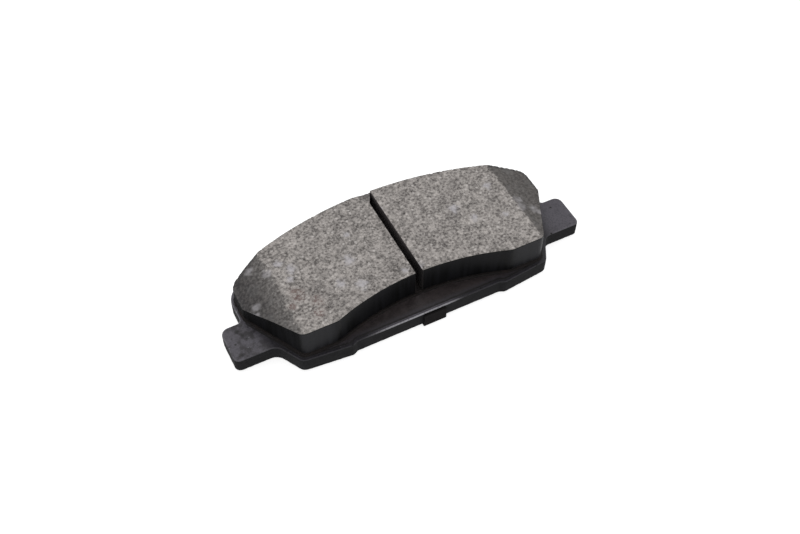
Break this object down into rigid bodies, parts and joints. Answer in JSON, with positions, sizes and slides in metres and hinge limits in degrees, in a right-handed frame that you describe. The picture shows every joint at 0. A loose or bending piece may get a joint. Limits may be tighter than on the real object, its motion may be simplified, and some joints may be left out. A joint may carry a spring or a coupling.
{
  "type": "disc brake pad",
  "caption": "Disc brake pad: steel backing plate with two guide ears, grooved and chamfered friction lining, and a clip-on damping shim on the back.",
  "frame": {"origin": "under the middle of the pad's bounding box, on the back face of the shim", "axes": "+X along the pad from ear to ear, +Y away from the disc's axle, +Z from the back of the pad towards the rubbing face"},
  "size_m": [0.13, 0.051, 0.0182],
  "materials": {
    "shim_rubber": "matte",
    "shim_steel": "satin",
    "shim_glue": "matte",
    "plate_paint": "satin",
    "bond_resin": "satin",
    "underlayer_compound": "matte",
    "friction_compound": "matte"
  },
  "bodies": {
    "root": {"shim_outer_coat": "shim_rubber", "shim_core": "shim_steel", "shim_inner_coat": "shim_rubber", "shim_adhesive": "shim_glue", "backing_plate": "plate_paint", "bond_adhesive": "bond_resin", "underlayer": "underlayer_compound", "friction_block_left": "friction_compound", "friction_block_right": "friction_compound"}
  },
  "joints": []
}
